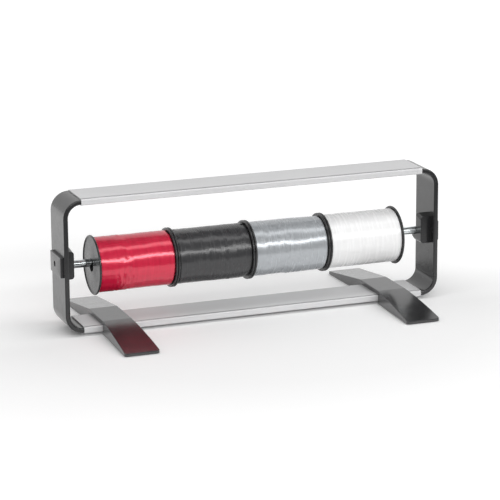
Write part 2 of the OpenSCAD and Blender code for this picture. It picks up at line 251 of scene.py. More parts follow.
@dataclass(frozen=True)
class AnodisedMetal(Finish):
    """Satin anodised metal with fine drawing lines along its length, and a cloudy anodised layer."""

    tints: Point = (0.96, 1.03)
    dullness: Point = (0.85, 1.15)
    metallic: float = 0.18
    specular: float = 0.2
    line: float = 0.35
    line_depth: float = 0.0005
    line_stretch: Triple = (0.004, 1.0, 1.0)
    cloud_size: float = 60.0
    cloud_stretch: Triple = (0.4, 1.0, 1.0)

    def lay(self, bench: NodeBench) -> None:
        """Lays the drawing lines and the clouds.

        Args:
            bench: The material's bench.
        """
        lines = bench.noise(self.line, self.line_stretch, 4.0)
        clouds = bench.noise(self.cloud_size, self.cloud_stretch, 2.0)
        bench.feed(bench.surface, {
            "Base Color": self.tinted(bench, bench.ranged(clouds)),
            "Metallic": self.metallic,
            "Specular IOR Level": self.specular,
            "Roughness": self.dulled(bench, lines),
            "Normal": bench.bumped(lines, self.line_depth)})


@dataclass(frozen=True)
class PolishedSteel(Finish):
    """Bright ground steel with very fine rings from grinding. It grows rougher towards its right end, where
    its colour turns to a painted pale sheen.
    """

    tints: Point = (0.7, 1.0)
    dullness: Point = (0.7, 1.4)
    # Roughness that the right end reaches, where the painted pale sheen lies
    painted_sheen_end: float = 0.36
    # Colour of the painted sheen: a pale lightening towards the right end that stands in for a brighter
    # reflection
    pale: Colour = (0.90, 0.95, 0.96)
    reach: float = 200.0
    ring: float = 0.25
    ring_depth: float = 0.0015
    ring_stretch: Triple = (1.0, 0.02, 0.02)
    smear_size: float = 14.0

    def lay(self, bench: NodeBench) -> None:
        """Lays the grinding rings and smears, and the rougher right end with its painted pale sheen.

        Args:
            bench: The material's bench.
        """
        rings = bench.noise(self.ring, self.ring_stretch, 2.0)
        smears = bench.noise(self.smear_size)
        smeared = self.tinted(bench, bench.ranged(smears))
        # Share of the painted pale sheen, and of the higher roughness, rising from left to right along the
        # axle
        painted_sheen_end = bench.ranged(bench.split(bench.place, "X"), start=-self.reach * MM, end=self.reach * MM)
        bench.feed(bench.surface, {
            "Base Color": bench.mixed(painted_sheen_end, smeared, opaque(self.pale)),
            "Metallic": 1.0,
            "Roughness": bench.maths("MAXIMUM", self.dulled(bench, smears),
                                     bench.ranged(painted_sheen_end, 0.0, self.painted_sheen_end, 0.0, 1.0)),
            "Normal": bench.bumped(rings, self.ring_depth)})


@dataclass(frozen=True)
class PlatedScrew(Finish):
    """Plated or blackened screw metal, a little uneven."""

    tints: Point = (0.8, 1.1)
    dullness: Point = (0.8, 1.2)
    metallic: float = 1.0
    cloud_size: float = 1.6
    cloud_depth: float = 0.01

    def lay(self, bench: NodeBench) -> None:
        """Lays an uneven plating.

        Args:
            bench: The material's bench.
        """
        clouds = bench.noise(self.cloud_size)
        bench.feed(bench.surface, {
            "Base Color": self.tinted(bench, bench.ranged(clouds)),
            "Metallic": self.metallic,
            "Roughness": self.dulled(bench, clouds),
            "Normal": bench.bumped(clouds, self.cloud_depth)})


@dataclass(frozen=True)
class PadRubber(Finish):
    """Matt black rubber with a coarse skin."""

    tints: Point = (0.7, 1.3)
    dullness: Point = (0.9, 1.0)
    skin_size: float = 0.8
    skin_depth: float = 0.03

    def lay(self, bench: NodeBench) -> None:
        """Lays the coarse skin.

        Args:
            bench: The material's bench.
        """
        skin = bench.noise(self.skin_size, detail=4.0)
        bench.feed(bench.surface, {
            "Base Color": self.tinted(bench, skin),
            "Roughness": self.dulled(bench, skin),
            "Normal": bench.bumped(skin, self.skin_depth)})


@dataclass(frozen=True)
class RibbonFilm(Finish):
    """Glossy curling ribbon with fine ribs along its length, round the spool, and slightly uneven layers."""

    tints: Point = (0.82, 1.0)
    dullness: Point = (0.85, 1.2)
    specular: float = 0.6
    metallic: float = 0.0
    rib: float = 0.5
    rib_depth: float = 0.012
    rib_stretch: Triple = (1.0, 0.03, 0.03)
    layer: float = 3.2
    layer_stretch: Triple = (1.0, 0.10, 0.10)

    def lay(self, bench: NodeBench) -> None:
        """Lays the ribs, the layers and the gloss.

        Args:
            bench: The material's bench.
        """
        ribs = bench.noise(self.rib, self.rib_stretch)
        layers = bench.noise(self.layer, self.layer_stretch)
        bench.feed(bench.surface, {
            "Base Color": self.tinted(bench, bench.ranged(layers)),
            "Metallic": self.metallic,
            "Roughness": self.dulled(bench, layers),
            "Specular IOR Level": self.specular,
            "Normal": bench.bumped(ribs, self.rib_depth)})


@dataclass(frozen=True)
class FloorPaper(Finish):
    """Matt white paper that fades into the white of the room away from the object."""

    tints: Point = (0.99, 1.0)
    dullness: Point = (0.95, 1.0)
    near: float = 300.0
    far: float = 1500.0
    fade: float = 0.5
    rear_near: float = -60.0
    rear_far: float = 140.0
    rear_fade: float = 0.19
    mirrored: float = 0.18
    specular: float = 0.1
    fibre: float = 2.0

    def lay(self, bench: NodeBench) -> None:
        """Lays the paper's fibres, and the glow that hides where the lamps fall off.

        Args:
            bench: The material's bench.
        """
        fibres = bench.noise(self.fibre)
        path = bench.node("ShaderNodeLightPath").outputs
        through = bench.maths("MAXIMUM", path["Is Glossy Ray"], path["Is Transmission Ray"])
        shown = bench.maths("MAXIMUM", path["Is Camera Ray"], through)
        away = bench.node("ShaderNodeVectorMath", {0: bench.place}, operation="LENGTH").outputs["Value"]
        behind = bench.split(bench.place, "Y")
        glow = bench.maths("ADD", bench.ranged(away, 0.0, self.fade, self.near * MM, self.far * MM),
                           bench.ranged(behind, 0.0, self.rear_fade, self.rear_near * MM, self.rear_far * MM))
        bench.feed(bench.surface, {
            "Base Color": self.tinted(bench, fibres),
            "Roughness": self.dulled(bench, fibres),
            "Specular IOR Level": self.specular,
            "Emission Color": (1.0, 1.0, 1.0, 1.0),
            "Emission Strength": bench.maths("ADD", bench.maths("MULTIPLY", shown, glow),
                                             bench.maths("MULTIPLY", through, self.mirrored))})


# Shaping


class Plane(Enum):
    """Plane that an outline is drawn in: the axes of its coordinates, then the axis it is pulled along."""

    FRONT = (0, 2, 1)
    SIDE = (1, 2, 0)


class Named(Enum):
    """Options that have a name among the solids."""

    @property
    def word(self) -> str:
        """The name as the solids use it."""
        return self.name.lower()


class Side(Named):
    """Which end of the dispenser a piece belongs to; the value turns the right-hand shape into it."""

    LEFT = -1.0
    RIGHT = 1.0


def solid_box(node: str) -> tuple[Vector, Vector]:
    """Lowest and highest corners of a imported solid, in millimetres."""
    low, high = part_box(node)
    return Vector(low) / MM, Vector(high) / MM


def in_scene(name: str, data: Any) -> bpy.types.Object:
    """Puts data into the scene.

    Args:
        name: Name of the object.
        data: Its mesh, lamp or camera.

    Returns:
        The object.
    """
    made = bpy.data.objects.new(name, data)
    bpy.context.scene.collection.objects.link(made)
    return made


def as_object(name: str, work: bmesh.types.BMesh, finish: Finish) -> bpy.types.Object:
    """Puts a mesh from the bench into the scene, and clears the bench.

    Args:
        name: Name of the object.
        work: The mesh.
        finish: Its finish.

    Returns:
        The object.
    """
    data = bpy.data.meshes.new(name)
    work.to_mesh(data)
    work.free()
    data.materials.append(finish.material())
    return in_scene(name, data)


def verts_of(parts: Iterable[Any]) -> list[Vert]:
    """The vertices among parts of a mesh."""
    return [part for part in parts if isinstance(part, Vert)]


class Workpiece:
    """A mesh on the bench, in millimetres, which becomes one finished piece."""

    ROUND = {"offset_type": "OFFSET", "profile": 0.5, "material": -1}
    SHARP = 32.0
    LEVEL = 1.0
    FLAT_SHARE = 8.0

    def __init__(self, name: str) -> None:
        """Starts an empty workpiece."""
        self.name = name
        self.mesh = bmesh.new()

    def parts(self) -> list[Any]:
        """Every vertex, edge and face."""
        return self.mesh.verts[:] + self.mesh.edges[:] + self.mesh.faces[:]

    def outline(self, points: Iterable[Point], plane: Plane, at: float,
                rounds: Optional[Rounds] = None) -> Face:
        """Draws a closed outline and rounds some of its corners.

        Args:
            points: Its corners in order.
            plane: The plane that it lies in.
            at: Where that plane lies.
            rounds: Radius and segments for the corners to be rounded, by number.

        Returns:
            The outline's face.
        """
        there = set(self.mesh.faces)
        corners = []
        for first, second in points:
            corner = [0.0, 0.0, 0.0]
            corner[plane.value[0]], corner[plane.value[1]], corner[plane.value[2]] = first, second, at
            corners.append(self.mesh.verts.new(corner))
        self.mesh.faces.new(corners)
        for number, (radius, segments) in (rounds or {}).items():
            bmesh.ops.bevel(self.mesh, geom=[corners[number]], offset=radius, segments=segments,
                            affect="VERTICES", clamp_overlap=False, **self.ROUND)
        return next(face for face in self.mesh.faces if face not in there)

    def pull(self, faces: Iterable[Face], by: Iterable[float]) -> list[Vert]:
        """Extrudes faces together. A face with neighbours moves, and a lone one stays as the other end.

        Args:
            faces: The faces.
            by: How far along each axis.

        Returns:
            The moved vertices.
        """
        region = list(faces)
        region += list({edge for face in region for edge in face.edges})
        moved = verts_of(bmesh.ops.extrude_face_region(self.mesh, geom=region)["geom"])
        bmesh.ops.translate(self.mesh, vec=by, verts=moved)
        return moved

    def block(self, points: Iterable[Point], plane: Plane, span: Point,
              rounds: Optional[Rounds] = None) -> None:
        """Draws a closed outline and pulls it from one place to another.

        Args:
            points: Its corners in order.
            plane: The plane that it lies in.
            span: The two places.
            rounds: Radius and segments for the corners to be rounded, by number.
        """
        by = [0.0, 0.0, 0.0]
        by[plane.value[2]] = span[1] - span[0]
        self.pull([self.outline(points, plane, span[0], rounds)], by)

    def cut(self, along: int, at: float, clear: bool = False) -> None:
        """Cuts every face by the plane at a place along one axis.

        Args:
            along: The axis, by number.
            at: The place.
            clear: Whether the part before the plane goes. Both parts stay otherwise.
        """
        centre, normal = [0.0, 0.0, 0.0], [0.0, 0.0, 0.0]
        centre[along], normal[along] = at, 1.0
        bmesh.ops.bisect_plane(self.mesh, geom=self.parts(), dist=CUT_CLOSE, plane_co=centre, plane_no=normal,
                               clear_inner=clear)

    def opened(self, face: Face) -> list[Edge]:
        """Takes a face out and keeps its edges.

        Args:
            face: The face.

        Returns:
            The edges round the opening.
        """
        rim = list(face.edges)
        bmesh.ops.delete(self.mesh, geom=[face], context="FACES_ONLY")
        return rim

    def close_holes(self) -> None:
        """Closes every hole with a face."""
        rims = [edge for edge in self.mesh.edges if edge.is_boundary]
        bmesh.ops.holes_fill(self.mesh, edges=rims, sides=0)

    def merge(self) -> None:
        """Makes one corner of corners that lie in the same place."""
        bmesh.ops.remove_doubles(self.mesh, verts=self.mesh.verts[:], dist=MERGED)

    def bevel(self, edges: Iterable[Edge], width: float, segments: int) -> None:
        """Rounds edges."""
        bmesh.ops.bevel(self.mesh, geom=list(edges), offset=width, segments=segments, affect="EDGES",
                        clamp_overlap=True, **self.ROUND)

    def soften(self, width: float, segments: int, leave: Optional[Callable[[Edge], bool]] = None) -> None:
        """Rounds every edge sharper than SHARP degrees.

        Args:
            width: Width of the rounding.
            segments: Its segments.
            leave: Says which edges stay sharp.
        """
        self.outward()
        self.bevel([edge for edge in self.mesh.edges if edge.is_manifold
                    and edge.calc_face_angle(0.0) > math.radians(self.SHARP) and not (leave and leave(edge))],
                   width, segments)

    def edges_where(self, test: Callable[[Vector, Vector], bool]) -> list[Edge]:
        """The edges whose two ends pass a test."""
        return [edge for edge in self.mesh.edges if test(edge.verts[0].co, edge.verts[1].co)]

    def outward(self) -> None:
        """Turns every face outwards."""
        bmesh.ops.recalc_face_normals(self.mesh, faces=self.mesh.faces[:])

    def turned(self, points: Iterable[Point], axis: Vector, steps: int,
               rounds: Optional[Rounds] = None) -> None:
        """Spins a closed profile about an axis along X.

        Args:
            points: Place along X and radius of each corner, in order.
            axis: A point on the axis.
            steps: Steps round the full turn.
            rounds: Radius and segments for the corners to be rounded, by number.
        """
        profile = [(x, axis.z + radius) for x, radius in points]
        rim = self.opened(self.outline(profile, Plane.FRONT, axis.y, rounds))
        bmesh.ops.spin(self.mesh, geom=rim, cent=axis, axis=(1.0, 0.0, 0.0), angle=2.0 * math.pi, steps=steps,
                       use_merge=True)
        self.merge()
        self.outward()

    def flipped(self, side: Side) -> None:
        """Mirrors the right-hand shape for the left side.

        Args:
            side: The side that the piece is for.
        """
        if side is Side.LEFT:
            bmesh.ops.scale(self.mesh, vec=(-1.0, 1.0, 1.0), verts=self.mesh.verts[:])
        self.outward()

    def _crisp(self, sharp: float) -> None:
        """Shades the piece smooth, with crisp sharp edges, and wide flats that stay flat up to their edges.

        A face is a wide flat beside one that has less than its area divided by FLAT_SHARE, unless the two are
        level to LEVEL degrees.

        Args:
            sharp: Edges sharper than this many degrees are crisp.
        """
        for face in self.mesh.faces:
            face.smooth = True
        for edge in self.mesh.edges:
            if not edge.is_manifold:
                continue
            turn = math.degrees(edge.calc_face_angle(0.0))
            small, large = sorted(face.calc_area() for face in edge.link_faces)
            edge.smooth = turn < sharp and (turn < self.LEVEL or large < self.FLAT_SHARE * small)

    def placed(self, body: str, finish: Finish, slot: str, *solids: str, sharp: float = 40.0) -> None:
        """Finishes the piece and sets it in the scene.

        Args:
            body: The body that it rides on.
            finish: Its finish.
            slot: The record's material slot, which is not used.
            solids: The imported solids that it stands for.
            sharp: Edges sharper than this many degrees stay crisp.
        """
        self._crisp(sharp)
        bmesh.ops.scale(self.mesh, vec=(MM, MM, MM), verts=self.mesh.verts[:])
        piece = as_object(self.name, self.mesh, finish)
        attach(piece, body)
        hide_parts(*solids)
        LOG.info("piece %s on %s, %d faces", self.name, body, len(piece.data.polygons))


def dress_solid(node: str, finish: Finish) -> None:
    """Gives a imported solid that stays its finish.

    Args:
        node: The solid.
        finish: Its finish.
    """
    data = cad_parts[node].data
    data.materials.clear()
    data.materials.append(finish.material())
    LOG.info("solid %s in %s", node, finish.name)


# Finishes of this dispenser

ALUMINIUM = AnodisedMetal("satin_anodised_aluminium", (0.60, 0.60, 0.605), 0.42)
BRACKET_PLASTIC = MouldedPlastic("bracket_satin_plastic", (0.018, 0.018, 0.019), 0.24, specular=0.55)
FOOT_PLASTIC = MouldedPlastic("foot_gloss_plastic", (0.022, 0.022, 0.023), 0.19, specular=0.8)
HOLDER_PLASTIC = MouldedPlastic("holder_black_plastic", (0.014, 0.014, 0.015), 0.20)
SPOOL_PLASTIC = MouldedPlastic("spool_black_plastic", (0.028, 0.028, 0.029), 0.28)
AXLE_STEEL = PolishedSteel("bright_axle_steel", (0.56, 0.59, 0.60), 0.12)
ZINC = PlatedScrew("zinc_screw", (0.62, 0.62, 0.60), 0.35)
BLACK_SCREW = PlatedScrew("black_oxide_screw", (0.03, 0.03, 0.032), 0.38, metallic=0.6)
RUBBER = PadRubber("pad_rubber", (0.02, 0.02, 0.02), 0.85)
FLOOR_PAPER = FloorPaper("floor_paper", (0.90, 0.90, 0.90), 0.85)


class Ribbon(Named):
    """The four ribbons, from left to right, each with its film."""

    RED = RibbonFilm("red_ribbon_film", (0.66, 0.009, 0.051), 0.19, specular=1.0, metallic=0.2)
    BLACK = RibbonFilm("black_ribbon_film", (0.036, 0.036, 0.038), 0.25)
    SILVER = RibbonFilm("silver_ribbon_film", (0.42, 0.44, 0.46), 0.25, (0.92, 1.0), metallic=0.4,
                        rib_depth=0.006)
    WHITE = RibbonFilm("white_ribbon_film", (0.79, 0.79, 0.79), 0.26, (0.99, 1.0), rib_depth=0.0015)


# Sub-assemblies

BRACKET_WALL = 6.0


@dataclass
class ExtrudedBar:
    """A drawn aluminium bar with rounded long edges and an undercut groove behind each of them."""

    level: str
    edge_round: Rounding = (1.6, 5)
    edge_drop: float = 0.35
    groove_inset: float = 2.6
    groove_width: float = 1.4
    groove_depth: float = 1.3
    groove_lip: float = 0.06
    groove_undercut: float = 2.2

    def build(self) -> None:
        """Draws the bar's section and pulls it to length."""
        low, high = solid_box(f"{self.level}_bar")
        near, far = (high.y - self.groove_inset - way * self.groove_width / 2 for way in (-1.0, 1.0))
        inside = far - self.groove_undercut
        edge, floor, lip = high.z - self.edge_drop, high.z - self.groove_depth, high.z - self.groove_lip
        upper = [(high.y, edge), (near, edge), (near, floor), (inside, floor), (inside, lip), (far, lip),
                 (far, high.z)]
        upper += [(-y, z) for y, z in reversed(upper)]
        middle = low.z + high.z
        section = upper + [(y, middle - z) for y, z in reversed(upper)]
        long_edges = (0, len(upper) - 1, len(upper), len(section) - 1)
        piece = Workpiece(f"{self.level}_aluminium_bar")
        piece.block(section, Plane.SIDE, (low.x, high.x), dict.fromkeys(long_edges, self.edge_round))
        piece.outward()
        piece.placed("frame", ALUMINIUM, "anodised_aluminium", f"{self.level}_bar", sharp=30.0)


@dataclass
class SideBracket:
    """A moulded side bracket: a round-cornered hoop with a bead along both rims and tongues in the bars."""

    side: Side
    reach: float = 23.5
    thickness: float = BRACKET_WALL
    leg: float = 5.9
    outer_round: Rounding = (23.0, 24)
    inner_round: Rounding = (17.0, 20)
    bead_step: float = 1.1
    bead_depth: float = 0.7
    edge: Rounding = (0.35, 2)
    tongue: Triple = (32.0, 16.93, 5.4)
    tongue_spread: float = 18.83
    tongue_root: float = 1.5

    def build(self) -> None:
        """Builds the hoop and its beads, trims its legs flush with the bars' ends and adds the tongues."""
        low, high = solid_box("right_side_bracket")
        outer, end = high.x, high.x - self.reach
        start = end - self.bead_step
        inner = outer - self.thickness
        half = high.y - self.bead_depth
        piece = Workpiece(f"{self.side.word}_bracket_hoop")
        piece.block(
            [(start, low.z), (outer, low.z), (outer, high.z), (start, high.z), (start, high.z - self.leg),
             (inner, high.z - self.leg), (inner, low.z + self.leg), (start, low.z + self.leg)],
            Plane.FRONT, (-half, half),
            {1: self.outer_round, 2: self.outer_round, 5: self.inner_round, 6: self.inner_round})
        piece.outward()
        for way in (-1.0, 1.0):
            rim = [f for f in piece.mesh.faces if f.normal.y * way > FACING]
            bmesh.ops.inset_region(piece.mesh, faces=rim, thickness=self.bead_step, use_even_offset=True,
                                   use_boundary=True)
            piece.pull(rim, (0.0, way * self.bead_depth, 0.0))
        piece.outward()
        bmesh.ops.connect_verts_concave(piece.mesh, faces=piece.mesh.faces[:])
        piece.cut(0, end, clear=True)
        piece.close_holes()
        piece.soften(*self.edge)
        self._tongues(piece, end)
        piece.flipped(self.side)
        piece.placed("frame", BRACKET_PLASTIC, "bracket_plastic", f"{self.side.word}_side_bracket")

    def _tongues(self, piece: Workpiece, end: float) -> None:
        """Adds the four tongues that slide into the bars.

        Args:
            piece: The bracket.
            end: Where the bars end.
        """
        length, width, height = self.tongue
        for level in ("bottom", "top"):
            low, high = solid_box(f"{level}_bar")
            z = (low.z + high.z) / 2
            for y in (-self.tongue_spread, self.tongue_spread):
                place = Matrix.Translation((end + self.tongue_root - length / 2, y, z))
                bmesh.ops.create_cube(piece.mesh, size=1.0,
                                      matrix=place @ Matrix.Diagonal((length, width, height, 1.0)))


@dataclass
class HolderBlock:
    """A hook-shaped holder for one end of the axle, open at the top behind its tall front wall."""

    side: Side
    reach: float
    base: float = 3.5
    front: float = 20.5
    trough: float = 5.25
    lip: float = 4.6
    lip_top: float = 84.55
    heel: float = 11.0
    corner: float = 4.0
    top_rise: float = 2.4
    base_drop: float = 4.0
    edge: Rounding = (1.0, 3)
    foot_up: float = 1.1
    head_up: float = 1.6
    shy: float = 0.02
    wall_round: Rounding = (2.5, 4)
    heel_steps: int = 10
    lip_steps: int = 5
    trough_steps: int = 9
    corner_steps: int = 5

    def build(self) -> None:
        """Builds the hook, and the wall behind it that stops the axle."""
        low, high = solid_box("right_holder_block")
        low.z, high.z = low.z + self.foot_up, high.z + self.head_up
        axle_low, axle_high = solid_box("axle")
        y, z = (axle_low.y + axle_high.y) / 2, (axle_low.z + axle_high.z) / 2
        front, rear = y - self.front, y + self.trough + self.lip
        front_top = high.z - self.top_rise
        inner = solid_box("right_side_bracket")[1].x - BRACKET_WALL
        root, tip = inner - self.base, inner - self.reach
        piece = Workpiece(f"{self.side.word}_axle_hook")
        crown = self.lip_top + self.lip / 2
        heel = (self.heel, self.heel_steps)
        lip = (self.lip / 2 - self.shy, self.lip_steps)
        trough = (self.trough - self.shy, self.trough_steps)
        piece.block(
            [(front, low.z), (rear, low.z), (rear, crown), (y + self.trough, crown),
             (y + self.trough, z - self.trough), (y - self.trough, z - self.trough),
             (y - self.trough, high.z), (front, front_top)],
            Plane.SIDE, (root, tip), {1: heel, 2: lip, 3: lip, 4: trough, 5: trough})

        def tip_top(place: Vector) -> bool:
            """Whether a place lies on the upper end of the tip's face."""
            return abs(place.x - tip) < CLOSE and place.z > front_top - CLOSE

        piece.bevel(piece.edges_where(lambda a, b: tip_top(a) and tip_top(b)), self.corner, self.corner_steps)
        self._round_under(piece, tip, low.z, Vector((tip, y, z)))
        piece.soften(*self.edge, leave=lambda e: all(v.co.x > root - CLOSE for v in e.verts))
        base_top = front_top - self.base_drop
        piece.block(
            [(front, low.z), (rear, low.z), (rear, base_top), (y - self.trough, base_top),
             (y - self.trough, high.z), (front, front_top)],
            Plane.SIDE, (root, inner), {1: heel, 2: self.wall_round})
        piece.flipped(self.side)
        piece.placed("frame", HOLDER_PLASTIC, "holder_plastic", f"{self.side.word}_holder_block")

    def _round_under(self, piece: Workpiece, tip: float, bottom: float, axle: Vector) -> None:
        """Rounds the tip's lower corner, up to the heel's own rounding.

        Args:
            piece: The hook.
            tip: Where its tip lies along the axle.
            bottom: Height of its underside.
            axle: A point on the axle's middle line.
        """
        for step in range(1, self.corner_steps):
            turn = step * math.pi / (2.0 * self.corner_steps)
            piece.cut(0, tip + self.corner * (1.0 - math.sin(turn)))
        reach = self.trough + CLOSE
        for vert in piece.mesh.verts:
            left_over = self.corner - (vert.co.x - tip)
            under_heel = bottom + self.heel - vert.co.z
            in_trough = abs(vert.co.y - axle.y) < reach and vert.co.z > axle.z - reach
            if left_over > 0.0 and under_heel > 0.0 and not in_trough:
                inset = self.corner - math.sqrt(max(0.0, self.corner ** 2 - left_over ** 2))
                vert.co.z += inset * under_heel / self.heel


@dataclass
class CoverPlate:
    """A cover plate with rounded edges and a recess for its screw."""

    side: Side
    corner: Rounding = (1.6, 4)
    edge: Rounding = (0.9, 3)
    recess_radius: float = 3.6
    recess_depth: float = 2.0
    recess_steps: int = 32

    def build(self) -> None:
        """Builds the plate."""
        low, high = solid_box("right_holder_plate")
        screw_low, screw_high = solid_box("right_holder_screw")
        piece = Workpiece(f"{self.side.word}_cover_plate")
        piece.block([(low.y, low.z), (high.y, low.z), (high.y, high.z), (low.y, high.z)],
                    Plane.SIDE, (low.x, high.x), dict.fromkeys(range(4), self.corner))
        piece.soften(*self.edge, leave=lambda e: all(v.co.x < low.x + CLOSE for v in e.verts))
        front = max((f for f in piece.mesh.faces if f.normal.x > FACING), key=lambda f: f.calc_area())
        self._recess(piece, front, Vector((high.x, (screw_low.y + screw_high.y) / 2,
                                           (screw_low.z + screw_high.z) / 2)))
        piece.flipped(self.side)
        piece.placed("frame", BRACKET_PLASTIC, "bracket_plastic", f"{self.side.word}_holder_plate")

    def _recess(self, piece: Workpiece, front: Face, centre: Vector) -> None:
        """Sinks the round recess for the screw's head.

        Args:
            piece: The plate.
            front: Its outer face.
            centre: Middle of the recess, on that face.
        """
        outer = piece.opened(front)
        ring = bmesh.ops.create_circle(
            piece.mesh, cap_ends=False, segments=self.recess_steps, radius=self.recess_radius,
            matrix=Matrix.Translation(centre) @ Matrix.Rotation(math.pi / 2, 4, "Y"))["verts"]
        rim = list({edge for vert in ring for edge in vert.link_edges})
        bmesh.ops.triangle_fill(piece.mesh, edges=outer + rim, use_beauty=True, use_dissolve=False)
        wall = bmesh.ops.extrude_edge_only(piece.mesh, edges=rim)["geom"]
        bmesh.ops.translate(piece.mesh, vec=(-self.recess_depth, 0.0, 0.0), verts=verts_of(wall))
        floor = [part for part in wall if isinstance(part, Edge) and part.is_boundary]
        bmesh.ops.contextual_create(piece.mesh, geom=floor)


@dataclass
class Foot:
    """A long moulded foot that straddles the lower bar, with ribbed pockets under its slopes."""

    side: Side
    flat: float = 60.0
    waist: float = 38.0
    tip_height: float = 4.2
    tip_width: float = 45.5
    tip_round: Rounding = (4.0, 5)
    bulge: float = 1.5
    wall: float = 2.6
    rib: float = 1.8
    channel: Point = (29.2, 12.3)
    pockets: tuple[float, float, int] = (31.8, 109.2, 3)
    edge: Rounding = (0.7, 3)
    bulge_steps: int = 8

    def build(self) -> None:
        """Builds the foot from its side view, then its plan, bulge, pockets and edges."""
        low, high = solid_box(f"{self.side.word}_foot")
        reach, middle = high.y, (low.x + high.x) / 2
        piece = Workpiece(f"{self.side.word}_moulded_foot")
        width, top = self.channel
        piece.block(
            [(reach, low.z), (reach, self.tip_height), (self.flat / 2, high.z), (-self.flat / 2, high.z),
             (-reach, self.tip_height), (-reach, low.z), (-width, low.z), (-width, top), (width, top),
             (width, low.z)],
            Plane.SIDE, (-self.waist / 2, self.waist / 2))
        tip_share = self.tip_width / self.waist
        tips = [v for v in piece.mesh.verts if abs(v.co.y) > reach - CLOSE]
        bmesh.ops.scale(piece.mesh, vec=(tip_share, 1.0, 1.0), verts=tips)
        piece.bevel(piece.edges_where(lambda a, b: abs(a.y) > reach - CLOSE and abs(a.x - b.x) < CLOSE
                                      and abs(a.y - b.y) < CLOSE), *self.tip_round)
        self._bulge(piece, high)
        self._pockets(piece, low, high)
        piece.soften(*self.edge)
        bmesh.ops.translate(piece.mesh, vec=(middle, 0.0, 0.0), verts=piece.mesh.verts[:])
        piece.outward()
        piece.placed("frame", FOOT_PLASTIC, "foot_plastic", f"{self.side.word}_foot", sharp=4.0)

    def _slope(self, y: float, high: Vector) -> float:
        """Height of the foot's top.

        Args:
            y: Place along the foot.
            high: Its highest corner.

        Returns:
            The height.
        """
        share = max(0.0, (abs(y) - self.flat / 2) / (high.y - self.flat / 2))
        crown = 4.0 * self.bulge * share * (1.0 - share) if y < 0 else 0.0
        return high.z + share * (self.tip_height - high.z) + crown

    def _bulge(self, piece: Workpiece, high: Vector) -> None:
        """Crowns the front slope a little.

        Args:
            piece: The foot.
            high: Its highest corner.
        """
        for step in range(1, self.bulge_steps):
            piece.cut(1, -(self.flat / 2 + step / self.bulge_steps * (high.y - self.flat / 2)))
        for vert in piece.mesh.verts:
            if vert.co.y < -self.flat / 2 - CLOSE and vert.co.z > self.tip_height + CLOSE:
                vert.co.z = self._slope(vert.co.y, high)

    def _pockets(self, piece: Workpiece, low: Vector, high: Vector) -> None:
        """Sinks the pockets under both slopes, with ribs left between them.

        Args:
            piece: The foot.
            low: Its lowest corner.
            high: Its highest corner.
        """
        start, end, count = self.pockets
        pitch = (end - start + self.rib) / count
        spans = [(start + i * pitch, start + (i + 1) * pitch - self.rib) for i in range(count)]
        across = (self.rib / 2, self.waist / 2 - self.wall)
        for along, places in [(0, across)] + [(1, span) for span in spans]:
            for place in places:
                piece.cut(along, place)
                piece.cut(along, -place)

        def inside(face: Face, span: Point, way: float, hand: float) -> bool:
            """Whether a face of the underside belongs to one pocket."""
            centre = face.calc_center_median()
            return (abs(centre.z - low.z) < CLOSE and abs(face.normal.z) > FACING
                    and span[0] < centre.y * way < span[1] and across[0] < centre.x * hand < across[1])

        for span in spans:
            for way in (-1.0, 1.0):
                for hand in (-1.0, 1.0):
                    piece.mesh.normal_update()
                    cells = [f for f in piece.mesh.faces if inside(f, span, way, hand)]
                    for vert in piece.pull(cells, (0.0, 0.0, self.wall)):
                        vert.co.z = self._slope(vert.co.y, high) - self.wall


@dataclass
class AxleRod:
    """The bright steel axle."""

    chamfer: Rounding = (0.8, 1)
    segments: int = 96

    def build(self) -> None:
        """Builds the rod with chamfered ends."""
        low, high = solid_box("axle")
        middle = (low + high) / 2
        radius = (high.z - low.z) / 2
        piece = Workpiece("axle_rod")
        bmesh.ops.create_cone(
            piece.mesh, cap_ends=True, cap_tris=False, segments=self.segments, radius1=radius, radius2=radius,
            depth=high.x - low.x, matrix=Matrix.Translation(middle) @ Matrix.Rotation(math.pi / 2, 4, "Y"))
        piece.bevel(piece.edges_where(lambda a, b: abs(a.x - b.x) < CLOSE), *self.chamfer)
        piece.outward()
        piece.placed("axle_unit", AXLE_STEEL, "axle_steel", "axle", sharp=35.0)


@dataclass(frozen=True)
class Crease:
    """A place along a winding where the film is puckered.

    Places and widths are shares of the winding's length, and the height is in millimetres. A leaning crease
    runs askew round the spool, a low one fades out over the upper half, and the shift breaks the layers next
    to it.
    """

    place: float
    width: float
    height: float
    lean: float = 0.04
    low: bool = False
    shift: float = 1.5
    fine: float = 60.0


@dataclass(frozen=True)
class FilmWaves:
    """How wound film waves: lengths in millimetres along its run, grains per radius round the spool.

    The fields are places in the noise that keep the waves apart.
    """

    twist: float = 0.9
    twist_length: float = 47.0
    twist_field: Point = (9.0, 3.0)
    wander_length: float = 90.0
    wander_field: Point = (33.0, 1.0)
    layer_grain: float = 2.4
    slack_grain: float = 1.6
    crease_grain: float = 3.0
    crease_field: float = 5.0
    shift_steepness: float = 8.0
    low_below: float = 0.4
    still_ends: float = 0.03


